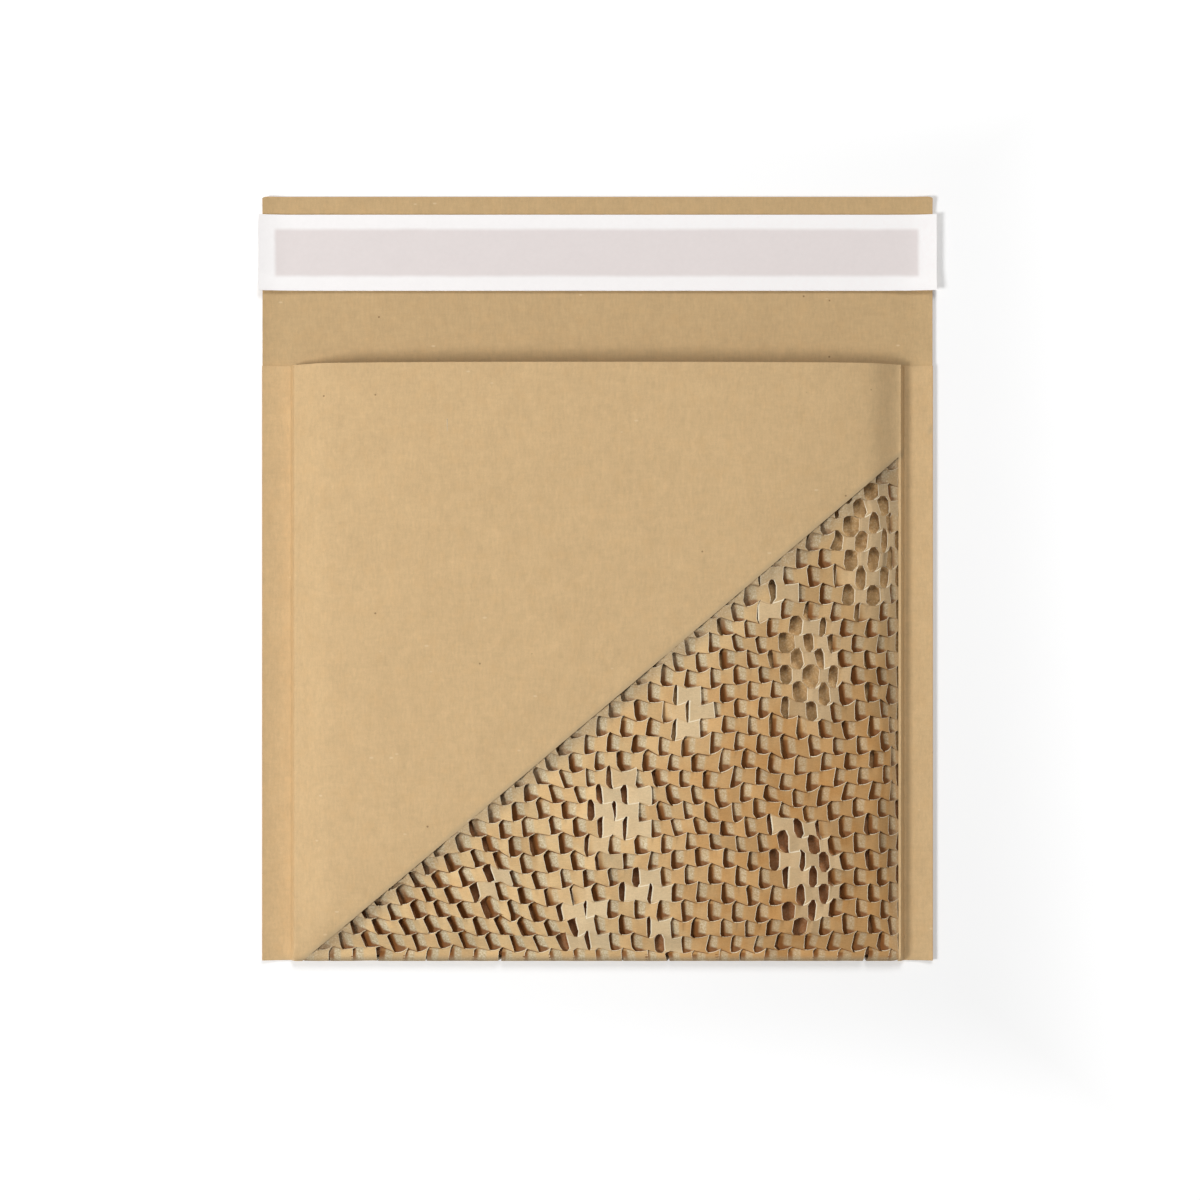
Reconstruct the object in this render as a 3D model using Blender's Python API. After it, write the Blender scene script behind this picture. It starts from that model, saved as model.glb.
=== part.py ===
"""Padded paper envelope, lying on its back with the flap open.

One kraft sheet is folded at the bottom and glued along both sides. A slit and pulled-open honeycomb
paper pads both walls, and an inner liner closes the pocket. The front wall has a slanting window that
shows the honeycomb. The flap carries an adhesive strip under a peel-off release liner.

The frame is in metres: +X to the right, +Y from the bottom fold to the flap, +Z up off the table.
The origin is under the middle of the flat back.
"""

import math

import bmesh
import bpy

# The outer kraft sheet
BODY_WIDTH = 0.200
BODY_HEIGHT = 0.1775
FLAP_LENGTH = 0.0505
FLAP_CORNER_RADIUS = 0.0018
SEAM_WIDTH = 0.0083
SHOULDER_WIDTH = 0.0016
PAPER = 0.0003

# The padding and the liner inside it
PAD_FULL = 0.0025
PAD_AT_EDGE = 0.0009
PAD_RAMP = 0.0095
PAD_FLOOR = 0.0005
LINER = 0.00025
LINING_SETBACK = 0.0015
CLEARANCE = 0.0003

# The pocket, which stands a little open between the two walls
POCKET_FULL = 0.0055
POCKET_AT_EDGE = 0.0003
POCKET_RAMP = 0.036
POCKET_FLATNESS = 4

# The window in the front wall: a right-angled triangle that stands on the bottom fold
WINDOW_TO_RIGHT_SEAM = 0.0022
WINDOW_TO_LEFT_SEAM = 0.0037
WINDOW_TO_MOUTH = 0.0274
WINDOW_OVERLAP = 0.0015
RECESS_RIM = 0.0008

# The honeycomb cells
CELL_PITCH = 0.00733
ROW_PITCH = 0.00493
TAB_WIDTH = 0.0042
TAB_GAP = 0.0006
TAB_CREST = 0.95
TAB_ROOT = 0.00025
TAB_TOE = 0.00005
OPENING_WIDTH = 0.0021
OPENING_LENGTH = 0.0034
# Where the cells are pulled open. Each patch has its centre's distance from the window's right edge
# and from the bottom fold, then its half width and half height.
OPEN_PATCHES = [
    (0.0085, 0.1300, 0.0100, 0.0240),
    (0.0255, 0.0780, 0.0110, 0.0260),
    (0.0235, 0.0310, 0.0160, 0.0220),
    (0.0745, 0.0260, 0.0170, 0.0180),
    (0.1195, 0.0260, 0.0150, 0.0150),
]

# The closure on the flap
STRIP_TO_EDGE = 0.0054
STRIP_WIDTH = 0.0227
STRIP_OVERHANG = 0.00105
STRIP_THICKNESS = 0.00015
GLUE_LENGTH = 0.192
GLUE_WIDTH = 0.0150
GLUE_THICKNESS = 0.0002

# How finely the curved walls are divided
BEND_STEPS = 6
INNER_STATIONS = (0.0, 0.22, 0.42, 0.60, 0.74, 0.84)
RAMP_STATIONS = (0.0, 0.3, 0.6, 1.0)
POCKET_STATIONS = (0.5, 0.75, 1.0)
CORNER_STEPS = 3
FLAT_ANGLE = math.radians(0.02)
SHARP_ANGLE = math.radians(25)

# Places worked out from the sizes above
Y_BOTTOM = -(BODY_HEIGHT + FLAP_LENGTH) / 2
Y_MOUTH = Y_BOTTOM + BODY_HEIGHT
Y_TOP = Y_MOUTH + FLAP_LENGTH
HALF_WIDTH = BODY_WIDTH / 2
SEAM_X = HALF_WIDTH - SEAM_WIDTH
WALL_X = SEAM_X - SHOULDER_WIDTH
PAD_X = WALL_X - CLEARANCE
WALL_AT_EDGE = PAPER + CLEARANCE + PAD_AT_EDGE + CLEARANCE + LINER
FOLD_HEIGHT = 2 * WALL_AT_EDGE + POCKET_AT_EDGE
PAD_OFFSET = PAPER + CLEARANCE
WINDOW_RIGHT_X = SEAM_X - WINDOW_TO_RIGHT_SEAM
WINDOW_LEFT_X = WINDOW_TO_LEFT_SEAM - SEAM_X
WINDOW_TOP_Y = Y_MOUTH - WINDOW_TO_MOUTH
WINDOW_SLOPE = (WINDOW_TOP_Y - Y_BOTTOM) / (WINDOW_RIGHT_X - WINDOW_LEFT_X)


def ramp(t):
    """Smooth rise from 0 to 1."""
    t = min(max(t, 0.0), 1.0)
    return t * t * (3 - 2 * t)


def fold_height(x):
    """Height of the stack of layers at the bottom fold."""
    if abs(x) <= WALL_X:
        return FOLD_HEIGHT
    share = min((abs(x) - WALL_X) / SHOULDER_WIDTH, 1.0)
    return FOLD_HEIGHT + (2 * PAPER - FOLD_HEIGHT) * share


def bend_y(x):
    """Centre line of the bottom fold's round bend."""
    return Y_BOTTOM + fold_height(x) / 2


def pad_thickness(x, y):
    """Thickness of one wall's honeycomb, which is crushed towards the seams and the fold."""
    across = ramp((PAD_X - abs(x)) / PAD_RAMP)
    along = ramp((y - bend_y(x)) / PAD_RAMP)
    return PAD_AT_EDGE + (PAD_FULL - PAD_AT_EDGE) * across * along


def pocket_gap(x, y):
    """Height of the pocket between the two liners."""
    across = max(0.0, 1 - abs(x / PAD_X) ** POCKET_FLATNESS)
    along = ramp((y - bend_y(x)) / POCKET_RAMP)
    return POCKET_AT_EDGE + (POCKET_FULL - POCKET_AT_EDGE) * across * along


def wall_height(x, y):
    """Height of the front sheet's outer face above the table."""
    if abs(x) >= SEAM_X:
        return 2 * PAPER
    inside = min(abs(x), WALL_X)
    wall = PAPER + CLEARANCE + pad_thickness(inside, y) + CLEARANCE + LINER
    height = 2 * wall + pocket_gap(inside, y)
    share = (abs(x) - inside) / SHOULDER_WIDTH
    return height + (2 * PAPER - height) * share


def half_stations():
    """Where the sections of the padded part stand, from the middle to the pad's end."""
    across = [PAD_X * share for share in INNER_STATIONS]
    across += [PAD_X - PAD_RAMP * share for share in RAMP_STATIONS]
    return sorted({round(x, 7) for x in across if x >= 0})


def mirrored(stations):
    """The same stations on both sides of the middle."""
    return sorted({-x for x in stations} | set(stations))


def y_stations(x, mouth):
    """Places along the wall from the bend to the mouth."""
    start = bend_y(x)
    along = [PAD_RAMP * share for share in RAMP_STATIONS]
    along += [POCKET_RAMP * share for share in POCKET_STATIONS]
    along = sorted({round(d, 7) for d in along if start + d < mouth})
    return [start + d for d in along] + [mouth]


def bend_points(x, offset):
    """Points round the bottom fold, from the back to the front, without its two ends."""
    radius = fold_height(x) / 2 - offset
    middle = fold_height(x) / 2
    turns = [math.pi * step / BEND_STEPS for step in range(1, BEND_STEPS)]
    return [(bend_y(x) - radius * math.sin(a), middle - radius * math.cos(a)) for a in turns]


def new_object(name, bm, material=None):
    """A scene object from a finished bmesh."""
    bmesh.ops.recalc_face_normals(bm, faces=bm.faces)
    mesh = bpy.data.meshes.new(name)
    bm.to_mesh(mesh)
    bm.free()
    mesh.shade_smooth()
    mesh.set_sharp_from_angle(angle=SHARP_ANGLE)
    made = bpy.data.objects.new(name, mesh)
    bpy.context.scene.collection.objects.link(made)
    if material is not None:
        mesh.materials.append(material)
    return made


def hide_helper(helper):
    """Marks a cutter or filler, which isn't part of the envelope by itself."""
    helper.hide_render = True
    helper.display_type = "WIRE"


def combine(target, helper, operation):
    """Adds an exact Boolean of a hidden helper to an object."""
    hide_helper(helper)
    cut = target.modifiers.new(helper.name, "BOOLEAN")
    cut.operation = operation
    cut.solver = "EXACT"
    cut.object = helper


def paper_material(name, colour, roughness):
    """A plain matt paper."""
    material = bpy.data.materials.new(name)
    material.use_nodes = True
    shader = material.node_tree.nodes["Principled BSDF"]
    shader.inputs["Base Color"].default_value = (*colour, 1)
    shader.inputs["Roughness"].default_value = roughness
    shader.inputs["Metallic"].default_value = 0
    material.diffuse_color = (*colour, 1)
    return material


class Weld:
    """A bmesh whose corners are shared wherever their places are the same."""

    def __init__(self):
        self.bm = bmesh.new()
        self.found = {}

    def corner(self, point):
        """The vertex at a place, made once."""
        key = tuple(round(c, 8) for c in point)
        if key not in self.found:
            self.found[key] = self.bm.verts.new(point)
        return self.found[key]

    def face(self, points):
        """A face through these places, without repeated corners."""
        corners = []
        for point in points:
            corner = self.corner(point)
            if corner not in corners:
                corners.append(corner)
        if len(corners) > 2:
            self.bm.faces.new(corners)

    def settle(self):
        """Joins the faces that lie in one plane, then makes each of the others truly flat."""
        bmesh.ops.dissolve_limit(
            self.bm, angle_limit=FLAT_ANGLE, verts=self.bm.verts, edges=self.bm.edges
        )
        bmesh.ops.triangulate(self.bm, faces=self.bm.faces)


def loft(rings):
    """A closed solid through rings of places, capped at both ends."""
    weld = Weld()
    for near, far in zip(rings, rings[1:]):
        for k in range(len(near)):
            after = (k + 1) % len(near)
            weld.face([near[k], near[after], far[after], far[k]])
    weld.face(rings[0])
    weld.face(rings[-1])
    return weld


def folded_ring(x, outer, inner, mouth):
    """Section of a layer that runs down the back, round the fold and up the front."""
    along = y_stations(x, mouth)
    ring = [(y, outer(x, y)) for y in reversed(along)]
    ring += bend_points(x, outer(x, along[0]))
    ring += [(y, wall_height(x, y) - outer(x, y)) for y in along]
    ring += [(y, wall_height(x, y) - inner(x, y)) for y in reversed(along)]
    ring += reversed(bend_points(x, inner(x, along[0])))
    ring += [(y, inner(x, y)) for y in along]
    return [(x, y, z) for y, z in ring]


def folded_layer(name, outer, inner, material):
    """A lining sheet folded once at the bottom. outer and inner are its faces' depths in the wall."""
    mouth = Y_MOUTH - LINING_SETBACK
    stations = mirrored(half_stations())
    weld = loft([folded_ring(x, outer, inner, mouth) for x in stations])
    weld.settle()
    return new_object(name, weld.bm, material)


def pad_outer(x, y):
    """Depth of the honeycomb's outer face below the wall's outer face."""
    return PAD_OFFSET


def pad_inner(x, y):
    """Depth of the honeycomb's inner face."""
    return PAD_OFFSET + pad_thickness(x, y)


def liner_outer(x, y):
    """Depth of the liner's glued face."""
    return pad_inner(x, y) + CLEARANCE


def liner_inner(x, y):
    """Depth of the liner's pocket face."""
    return liner_outer(x, y) + LINER


def flap_top(x):
    """The flap's free edge, with rounded corners."""
    into_corner = abs(x) - (HALF_WIDTH - FLAP_CORNER_RADIUS)
    if into_corner <= 0:
        return Y_TOP
    rise = math.sqrt(max(FLAP_CORNER_RADIUS**2 - into_corner**2, 0.0))
    return Y_TOP - FLAP_CORNER_RADIUS + rise


def sheet_section(x):
    """The outer sheet's section as two lines: the outer face and the inner face."""
    along = y_stations(x, Y_MOUTH)
    height = [wall_height(x, y) for y in along]
    outside = [(flap_top(x), 0.0), (along[0], 0.0)]
    outside += bend_points(x, 0.0)
    outside += list(zip(along, height))
    inside = [(y, z - PAPER) for y, z in reversed(list(zip(along, height)))]
    inside += reversed(bend_points(x, PAPER))
    inside += [(y, PAPER) for y in along]
    return [(x, *p) for p in outside], [(x, *p) for p in inside], (x, flap_top(x), PAPER)


def outer_sheet(material):
    """The one kraft sheet: back, flap, bottom fold, front wall and the two glued side seams."""
    corner_x = [
        HALF_WIDTH - FLAP_CORNER_RADIUS * (1 - math.sin(math.pi / 2 * step / CORNER_STEPS))
        for step in range(CORNER_STEPS + 1)
    ]
    stations = mirrored([*half_stations(), WALL_X, SEAM_X, *corner_x])
    sections = [sheet_section(x) for x in stations]
    weld = Weld()
    for near, far in zip(sections, sections[1:]):
        sealed = min(abs(near[0][0][0]), abs(far[0][0][0])) > WALL_X
        outer_near = [near[2], *near[0], near[1][0]]
        outer_far = [far[2], *far[0], far[1][0]]
        for k in range(len(outer_near) - 1):
            weld.face([outer_near[k], outer_near[k + 1], outer_far[k + 1], outer_far[k]])
        if not sealed:
            for k in range(len(near[1]) - 1):
                weld.face([near[1][k], near[1][k + 1], far[1][k + 1], far[1][k]])
        weld.face([near[1][-1], near[2], far[2], far[1][-1]])
    for section in (sections[0], sections[-1]):
        weld.face([section[2], *section[0], section[1][0]])
    weld.settle()
    return new_object("outer_sheet", weld.bm, material)


def window_cutter():
    """A prism over the window, which starts just above the back panel and runs past the fold."""
    low = PAPER + CLEARANCE / 2
    high = 2 * wall_height(0.0, Y_MOUTH)
    past = 2 * FOLD_HEIGHT
    plan = [
        (WINDOW_LEFT_X - past / WINDOW_SLOPE, Y_BOTTOM - past),
        (WINDOW_RIGHT_X, Y_BOTTOM - past),
        (WINDOW_RIGHT_X, WINDOW_TOP_Y),
    ]
    weld = loft([[(x, y, z) for x, y in plan] for z in (low, high)])
    return new_object("window_cutter", weld.bm)


def diagonal_y(x):
    """Height of the recess's slanting edge, which lies a little under the front sheet."""
    lift = WINDOW_OVERLAP * math.hypot(1, WINDOW_SLOPE)
    return Y_BOTTOM + WINDOW_SLOPE * (x - WINDOW_LEFT_X) + lift


def pad_floor(x, y):
    """Height of the web that the honeycomb's tabs stand on."""
    return wall_height(x, y) - pad_inner(x, y) + PAD_FLOOR


def recess_bottom():
    """Lower edge of the recess, just above the bend."""
    return bend_y(0.0) + CLEARANCE


def recess_cutter():
    """Opens the pad under the window down to the web, following the curve of the wall."""
    right = PAD_X - RECESS_RIM
    left = WINDOW_LEFT_X
    across = sorted({left, right, *(x for x in mirrored(half_stations()) if left < x < right)})
    along = [recess_bottom(), *(y for y in y_stations(0.0, Y_MOUTH) if y > recess_bottom())]
    high = 2 * wall_height(0.0, Y_MOUTH)
    rings = []
    for x in across:
        ring = [(x, y, pad_floor(x, y)) for y in along]
        ring += [(x, y, high) for y in reversed(along)]
        rings.append(ring)
    weld = loft(rings)
    bm = weld.bm
    cut = bmesh.ops.bisect_plane(
        bm,
        geom=[*bm.verts, *bm.edges, *bm.faces],
        plane_co=(left, diagonal_y(left), 0),
        plane_no=(diagonal_y(left) - diagonal_y(right), right - left, 0),
        clear_outer=True,
    )
    rim = [e for e in cut["geom_cut"] if isinstance(e, bmesh.types.BMEdge)]
    bmesh.ops.holes_fill(bm, edges=rim, sides=0)
    weld.settle()
    return new_object("recess_cutter", bm)


def cell_rows():
    """The middle of every tab in the window, row by row, with every second row half a cell over."""
    row = 0
    y = recess_bottom() + ROW_PITCH / 2
    while y < WINDOW_TOP_Y:
        x = PAD_X - RECESS_RIM - TAB_WIDTH / 2 - (row % 2) * CELL_PITCH / 2
        while diagonal_y(x + TAB_WIDTH / 2) > y and x > WINDOW_LEFT_X:
            yield x, y
            x -= CELL_PITCH
        row += 1
        y += ROW_PITCH


def tab_ridges():
    """The honeycomb's tabs: each slopes up from the web to a free edge on its right."""
    bm = bmesh.new()
    half_length = (ROW_PITCH - TAB_GAP) / 2
    for x, y in cell_rows():
        left, right = x - TAB_WIDTH / 2, x + TAB_WIDTH / 2
        section = []
        for end in (y - half_length, y + half_length):
            crest = wall_height(right, end) - PAD_OFFSET - pad_floor(right, end)
            section.append([
                (left, end, pad_floor(left, end) - TAB_ROOT),
                (right, end, pad_floor(right, end) - TAB_ROOT),
                (right, end, pad_floor(right, end) + TAB_CREST * crest),
                (left, end, pad_floor(left, end) + TAB_TOE),
            ])
        near = [bm.verts.new(p) for p in section[0]]
        far = [bm.verts.new(p) for p in section[1]]
        bm.faces.new(near)
        bm.faces.new(far)
        for k in range(len(near)):
            after = (k + 1) % len(near)
            bm.faces.new([near[k], near[after], far[after], far[k]])
    return new_object("tab_ridges", bm)


def stands_open(x, y):
    """Whether a place lies in one of the patches where the cells are pulled open."""
    from_right, from_fold = WINDOW_RIGHT_X - x, y - Y_BOTTOM
    return any(
        math.hypot((from_right - mid_x) / half_x, (from_fold - mid_y) / half_y) < 1
        for mid_x, mid_y, half_x, half_y in OPEN_PATCHES
    )


def open_cells():
    """Cutters for the openings between tabs, where the cells stand open to the liner."""
    bm = bmesh.new()
    for tab_x, y in cell_rows():
        x = tab_x - CELL_PITCH / 2
        if not stands_open(x, y) or diagonal_y(x - OPENING_WIDTH) < y + OPENING_LENGTH:
            continue
        reach = PAD_FLOOR + CLEARANCE / 2
        middle = pad_floor(x, y) - PAD_FLOOR / 2
        plan = [
            (x + side * OPENING_WIDTH / 2, y + end * OPENING_LENGTH / 2)
            for side, end in ((-1, -1), (1, -1), (1, 1), (-1, 1))
        ]
        low = [bm.verts.new((*p, middle - reach)) for p in plan]
        high = [bm.verts.new((*p, middle + reach)) for p in plan]
        bm.faces.new(low)
        bm.faces.new(high)
        for k in range(len(plan)):
            after = (k + 1) % len(plan)
            bm.faces.new([low[k], low[after], high[after], high[k]])
    return new_object("open_cells", bm)


def honeycomb_lining(material):
    """The slit and pulled-open paper that pads both walls, one piece folded at the bottom."""
    lining = folded_layer("honeycomb_lining", pad_outer, pad_inner, material)
    combine(lining, recess_cutter(), "DIFFERENCE")
    combine(lining, tab_ridges(), "UNION")
    combine(lining, open_cells(), "DIFFERENCE")
    return lining


def flat_strip(name, length, width, thickness, y, z, material):
    """A flat strip across the flap, with its middle at y and its lower face at z."""
    bm = bmesh.new()
    bmesh.ops.create_cube(bm, size=1)
    for corner in bm.verts:
        corner.co = (corner.co.x * length, corner.co.y * width, corner.co.z * thickness)
    strip = new_object(name, bm, material)
    strip.location = (0, y, z + thickness / 2)
    return strip


def closure(glue_material, strip_material):
    """The adhesive strip on the flap and the release liner that covers it."""
    y = Y_TOP - STRIP_TO_EDGE - STRIP_WIDTH / 2
    glue_z = PAPER + CLEARANCE
    strip_z = glue_z + GLUE_THICKNESS + CLEARANCE
    strip_length = BODY_WIDTH + 2 * STRIP_OVERHANG
    flat_strip("adhesive_strip", GLUE_LENGTH, GLUE_WIDTH, GLUE_THICKNESS, y, glue_z, glue_material)
    flat_strip(
        "release_liner", strip_length, STRIP_WIDTH, STRIP_THICKNESS, y, strip_z, strip_material
    )


def main():
    """Builds the envelope from the table up."""
    for old in list(bpy.data.objects):
        bpy.data.objects.remove(old)
    kraft = paper_material("outer_kraft", (0.61, 0.42, 0.22), 0.85)
    comb = paper_material("honeycomb_kraft", (0.60, 0.43, 0.24), 0.9)
    inner = paper_material("liner_paper", (0.58, 0.51, 0.38), 0.9)
    glue = paper_material("adhesive", (0.75, 0.70, 0.69), 0.35)
    white = paper_material("release_paper", (0.92, 0.89, 0.88), 0.45)
    combine(outer_sheet(kraft), window_cutter(), "DIFFERENCE")
    honeycomb_lining(comb)
    folded_layer("inner_liner", liner_outer, liner_inner, inner)
    closure(glue, white)


main()
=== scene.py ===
"""Looks of the padded paper envelope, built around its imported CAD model.

The envelope lies on its back with the flap open. Lengths are in metres, in the frame of the CAD:
+X to the right, +Y from the bottom fold to the flap, +Z up off the table.
"""

import logging
import math
from dataclasses import astuple, dataclass, field, replace
from enum import Enum
from functools import cached_property
from typing import Any, Callable, Iterable, NamedTuple, Sequence, Union

import bpy
import numpy as np
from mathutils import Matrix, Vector


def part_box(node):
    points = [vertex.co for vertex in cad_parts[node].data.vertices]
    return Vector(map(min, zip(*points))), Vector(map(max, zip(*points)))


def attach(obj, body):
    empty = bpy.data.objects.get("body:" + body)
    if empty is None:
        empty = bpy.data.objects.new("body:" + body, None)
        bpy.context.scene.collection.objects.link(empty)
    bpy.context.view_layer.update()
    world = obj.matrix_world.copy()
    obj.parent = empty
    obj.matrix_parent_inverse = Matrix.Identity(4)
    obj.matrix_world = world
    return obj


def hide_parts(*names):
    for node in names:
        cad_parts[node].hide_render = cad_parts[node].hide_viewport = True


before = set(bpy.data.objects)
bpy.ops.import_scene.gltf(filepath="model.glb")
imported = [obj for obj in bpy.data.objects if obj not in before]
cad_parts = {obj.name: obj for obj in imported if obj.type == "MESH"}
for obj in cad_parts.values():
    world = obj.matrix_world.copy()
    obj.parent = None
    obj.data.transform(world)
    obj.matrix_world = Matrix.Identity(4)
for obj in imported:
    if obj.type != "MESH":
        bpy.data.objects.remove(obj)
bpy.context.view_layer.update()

LOG = logging.getLogger("envelope")
BODY = "root"

Piece = bpy.types.Object
Material = bpy.types.Material
Socket = bpy.types.NodeSocket
Array = np.ndarray
Colour = tuple[float, float, float]
Corner = tuple[float, float, float]
Rung = list[tuple[float, int]]


def ink(red: int, green: int, blue: int) -> Colour:
    """Linear colour of a screen colour from 0 to 255.

    Args:
        red, green, blue: The screen values.
    Returns:
        The three linear values.
    """

    def linear(value: float) -> float:
        """One channel's linear value."""
        return value / 12.92 if value <= 0.04045 else ((value + 0.055) / 1.055) ** 2.4

    return linear(red / 255), linear(green / 255), linear(blue / 255)


def ramp(t: Array) -> Array:
    """Smooth rise from 0 to 1."""
    t = np.clip(t, 0.0, 1.0)
    return t * t * (3 - 2 * t)


@dataclass(frozen=True)
class Walls:
    """Sizes of the padded walls, and where a layer at a given depth in them lies."""

    half_width: float
    y_bottom: float
    y_top: float
    flap_length: float = 0.0505
    seam_width: float = 0.0083
    shoulder: float = 0.0016
    paper: float = 0.0003
    clearance: float = 0.0003
    liner: float = 0.00025
    pad_full: float = 0.0025
    pad_at_edge: float = 0.0009
    pad_ramp: float = 0.0095
    pocket_full: float = 0.0055
    pocket_at_edge: float = 0.0003
    pocket_ramp: float = 0.036
    setback: float = 0.0015
    window_to_right_seam: float = 0.0022
    window_to_left_seam: float = 0.0037
    window_to_mouth: float = 0.0274
    seam_curl: float = 0.0011
    flap_curl: float = 0.0007
    flap_curl_reach: float = 0.0058

    @property
    def y_mouth(self) -> float:
        """Where the front wall ends."""
        return self.y_top - self.flap_length

    @property
    def seam_x(self) -> float:
        """Inner edge of the glued side seam."""
        return self.half_width - self.seam_width

    @property
    def wall_x(self) -> float:
        """Where the padded wall starts to drop to the seam."""
        return self.seam_x - self.shoulder

    @property
    def pad_x(self) -> float:
        """Side edge of the padding."""
        return self.wall_x - self.clearance

    @property
    def pad_depth(self) -> float:
        """Depth of the padding's outer face below the wall's outer face."""
        return self.paper + self.clearance

    @property
    def fold_full(self) -> float:
        """Height of the stack of layers at the bottom fold."""
        wall = self.paper + 2 * self.clearance + self.pad_at_edge + self.liner
        return 2 * wall + self.pocket_at_edge

    @property
    def front_level(self) -> float:
        """A height that the back wall stays below, and the front wall above."""
        return 0.6 * self.fold_full

    @property
    def arc(self) -> float:
        """Length of the padding's outer face round the bottom fold."""
        return math.pi * (self.fold_full / 2 - self.pad_depth)

    @property
    def window_right(self) -> float:
        """Upright edge of the window."""
        return self.seam_x - self.window_to_right_seam

    @property
    def window_left(self) -> float:
        """Where the window's slanting edge meets the bottom fold."""
        return self.window_to_left_seam - self.seam_x

    @property
    def window_slope(self) -> float:
        """Rise of the slanting edge per length across."""
        top = self.y_mouth - self.window_to_mouth
        return (top - self.y_bottom) / (self.window_right - self.window_left)

    def from_slant(self, x: Any, y: Any) -> Any:
        """Distance of numbers, arrays or shader values from the slant, positive on the kraft."""
        line = self.y_bottom + self.window_slope * (x - self.window_left)
        return (y - line) / math.hypot(1, self.window_slope)

    def fold_height(self, x: Array) -> Array:
        """Height of the bottom fold, which drops to the seam at each side."""
        share = np.clip((np.abs(x) - self.wall_x) / self.shoulder, 0, 1)
        return self.fold_full + (2 * self.paper - self.fold_full) * share

    def bend_y(self, x: Array) -> Array:
        """Centre line of the bottom fold."""
        return self.y_bottom + self.fold_height(x) / 2

    def pad_thickness(self, x: Array, y: Array) -> Array:
        """Thickness of the honeycomb, crushed towards the seams and the fold."""
        across = ramp((self.pad_x - np.abs(x)) / self.pad_ramp)
        along = ramp((y - self.bend_y(x)) / self.pad_ramp)
        return self.pad_at_edge + (self.pad_full - self.pad_at_edge) * across * along

    def wall_height(self, x: Array, y: Array) -> Array:
        """Height of the front sheet's outer face above the table."""
        inside = np.minimum(np.abs(x), self.wall_x)
        across = np.maximum(0.0, 1 - (inside / self.pad_x) ** 4)
        along = ramp((y - self.bend_y(inside)) / self.pocket_ramp)
        gap = self.pocket_at_edge + (self.pocket_full - self.pocket_at_edge) * across * along
        wall = self.pad_depth + self.pad_thickness(inside, y) + self.clearance + self.liner
        height = 2 * wall + gap
        share = np.clip((np.abs(x) - inside) / self.shoulder, 0, 1)
        return height + (2 * self.paper - height) * share

    def curl(self, x: Array, y: Array) -> Array:
        """How far the free edges of the envelope stand off the table."""
        side = np.clip((np.abs(x) - self.seam_x) / self.seam_width, 0, 1.2) ** 2
        end = np.clip((y - self.y_top) / self.flap_curl_reach + 1, 0, 1) ** 2
        return self.seam_curl * side + self.flap_curl * end

    def front(self, x: Array, y: Array, depth: Array) -> Array:
        """Points of the front wall at a depth below its outer face."""
        return np.stack([x, y, self.wall_height(x, y) - depth], axis=-1)

    def back(self, x: Array, y: Array, depth: Array) -> Array:
        """Points of the back wall and flap at a depth above the outer face on the table."""
        return np.stack([x, y, depth + 0 * x], axis=-1)

    def bend(self, x: Array, turn: Array, depth: Array) -> Array:
        """Points round the bottom fold. turn is 0 where the front starts and 1 at the back."""
        middle = self.fold_height(x) / 2
        radius = np.maximum(middle - depth, 0.00002)
        angle = math.pi * (1 - turn)
        y = self.bend_y(x) - radius * np.sin(angle)
        return np.stack([x, y, middle - radius * np.cos(angle)], axis=-1)

    def along(self, x: Array, s: Array, depth: Array) -> Array:
        """Points of a folded layer.

        Args:
            x: Places across.
            s: Distance from the start of the front wall, negative round the fold and up the back.
            depth: Depth below the wall's outer face.
        Returns:
            One point in each row.
        """
        front = self.front(x, self.bend_y(x) + s, depth)
        bend = self.bend(x, np.clip(-s / self.arc, 0, 1), depth)
        back = self.back(x, self.bend_y(x) - s - self.arc, depth)
        points = np.where((s >= 0)[..., None], front, bend)
        return np.where((s < -self.arc)[..., None], back, points)

    def level(self, s: Array) -> Array:
        """Distance from the fold up the wall, on the front or on the back."""
        return np.where(s >= 0, s, np.maximum(-s - self.arc, 0))


class Ripple:
    """A gentle, repeatable unevenness made of a few waves."""

    def __init__(self, seed: int, shortest: float, longest: float, count: int = 9) -> None:
        """Draws the waves.

        Args:
            seed: Seed of the random draw.
            shortest, longest: Limits of the wavelength.
            count: Number of waves.
        """
        draw = np.random.default_rng(seed)
        length = draw.uniform(shortest, longest, count)
        heading = draw.uniform(0, 2 * math.pi, count)
        self.waves = 2 * math.pi / length * np.stack([np.cos(heading), np.sin(heading)])
        self.phase = draw.uniform(0, 2 * math.pi, count)
        self.scale = math.sqrt(2 / count)

    def __call__(self, x: Array, y: Array) -> Array:
        """Height of the ripple, about 1 high."""
        angle = np.multiply.outer(x, self.waves[0]) + np.multiply.outer(y, self.waves[1])
        return self.scale * np.sin(angle + self.phase).sum(axis=-1)


def deselect() -> None:
    """Leaves nothing selected."""
    if bpy.context.object is not None and bpy.context.object.mode != "OBJECT":
        bpy.ops.object.mode_set(mode="OBJECT")
    bpy.ops.object.select_all(action="DESELECT")


def activate(piece: Piece) -> None:
    """Makes one object the only selected and active one."""
    deselect()
    piece.select_set(True)
    bpy.context.view_layer.objects.active = piece


def face_vectors(piece: Piece, name: str) -> Array:
    """A vector of each face, such as its middle or its normal, one in each row."""
    flat = np.empty(3 * len(piece.data.polygons), np.float32)
    piece.data.polygons.foreach_get(name, flat)
    return flat.reshape(-1, 3)


def face_up(piece: Piece, above: float) -> None:
    """Turns all normals of an open sheet over if its faces above a height point down."""
    high = face_vectors(piece, "center")[:, 2] > above
    if face_vectors(piece, "normal")[high, 2].mean() < 0:
        piece.data.flip_normals()


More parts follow.
